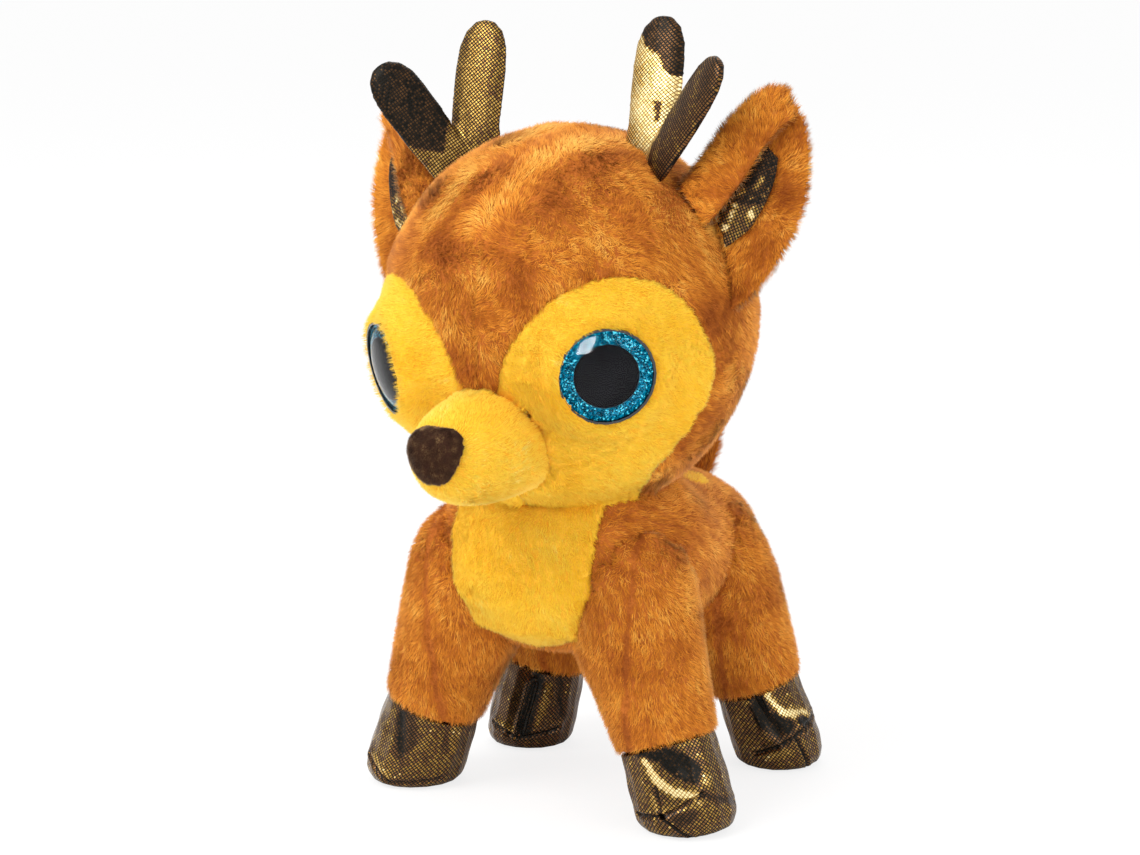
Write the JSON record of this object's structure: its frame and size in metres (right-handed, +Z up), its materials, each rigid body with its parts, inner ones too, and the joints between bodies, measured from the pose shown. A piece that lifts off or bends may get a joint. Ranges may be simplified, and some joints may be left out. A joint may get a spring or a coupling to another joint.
{
  "type": "plush fawn",
  "caption": "Small standing plush fawn: padded brown and yellow cloth panels on foil-cloth hooves, round safety eyes, folded ears and flat padded antlers that flex at their seams.",
  "frame": {"origin": "on the floor, under the middle of the bounding box", "axes": "+Z up, the fawn faces -Y and its own left side is +X"},
  "size_m": [0.1066, 0.1248, 0.1659],
  "materials": {
    "brown_plush": "short brushed pile",
    "yellow_plush": "short brushed pile",
    "nose_flock": "flocked felt",
    "foil_cloth": "black cloth printed with fine bright metallic dots",
    "stuffing": "loose white fibre",
    "black_plastic": "gloss",
    "clear_plastic": "clear polished",
    "glitter_foil": "blue-green glitter",
    "pupil_black": "gloss",
    "white_plastic": "moulded"
  },
  "bodies": {
    "torso": {"back_spot_left": "yellow_plush", "back_spot_right": "yellow_plush", "body_cover_left": "brown_plush", "body_cover_right": "brown_plush", "body_fill": "stuffing", "chest_panel": "yellow_plush", "eye_backing_left": "black_plastic", "eye_backing_right": "black_plastic", "eye_iris_left": "glitter_foil", "eye_iris_right": "glitter_foil", "eye_lens_left": "clear_plastic", "eye_lens_right": "clear_plastic", "eye_pupil_left": "pupil_black", "eye_pupil_right": "pupil_black", "eye_washer_left": "white_plastic", "eye_washer_right": "white_plastic", "face_patch_left": "yellow_plush", "face_patch_right": "yellow_plush", "head_cover_left": "brown_plush", "head_cover_right": "brown_plush", "head_fill": "stuffing", "hoof_front_left": "foil_cloth", "hoof_front_right": "foil_cloth", "hoof_hind_left": "foil_cloth", "hoof_hind_right": "foil_cloth", "leg_fill_front_left": "stuffing", "leg_fill_front_right": "stuffing", "leg_fill_hind_left": "stuffing", "leg_fill_hind_right": "stuffing", "leg_front_left": "brown_plush", "leg_front_right": "brown_plush", "leg_hind_left": "brown_plush", "leg_hind_right": "brown_plush", "muzzle_cover": "yellow_plush", "nose": "nose_flock"},
    "left_ear": {"ear_cover_left": "brown_plush", "ear_lining_left": "foil_cloth"},
    "right_ear": {"ear_cover_right": "brown_plush", "ear_lining_right": "foil_cloth"},
    "left_antler": {"antler_left": "foil_cloth"},
    "right_antler": {"antler_right": "foil_cloth"},
    "tail_flap": {"tail": "brown_plush"}
  },
  "joints": [
    {"name": "ear_left_seam", "type": "hinge", "parent": "torso", "child": "left_ear", "pos_m": [0.03465, -0.00168, 0.12338], "axis": [-0.5691, 0.0289, 0.8217], "range_deg": [-6, 14], "stiffness_Nm_per_rad": 0.02},
    {"name": "ear_right_seam", "type": "hinge", "parent": "torso", "child": "right_ear", "pos_m": [-0.03443, -0.00168, 0.11904], "axis": [-0.4616, -0.0289, -0.8866], "range_deg": [-14, 6], "stiffness_Nm_per_rad": 0.02},
    {"name": "antler_left_seam", "type": "hinge", "parent": "torso", "child": "left_antler", "pos_m": [0.02026, -0.00257, 0.13856], "axis": [-0.998, 0, -0.0628], "range_deg": [-8, 6], "stiffness_Nm_per_rad": 0.02},
    {"name": "antler_right_seam", "type": "hinge", "parent": "torso", "child": "right_antler", "pos_m": [-0.02206, -0.00257, 0.1359], "axis": [-0.998, 0, -0.0628], "range_deg": [-8, 6], "stiffness_Nm_per_rad": 0.02},
    {"name": "tail_seam", "type": "hinge", "parent": "torso", "child": "tail_flap", "pos_m": [0.00185, 0.0532, 0.0556], "axis": [-1, 0, 0], "range_deg": [-8, 25], "stiffness_Nm_per_rad": 0.01}
  ]
}
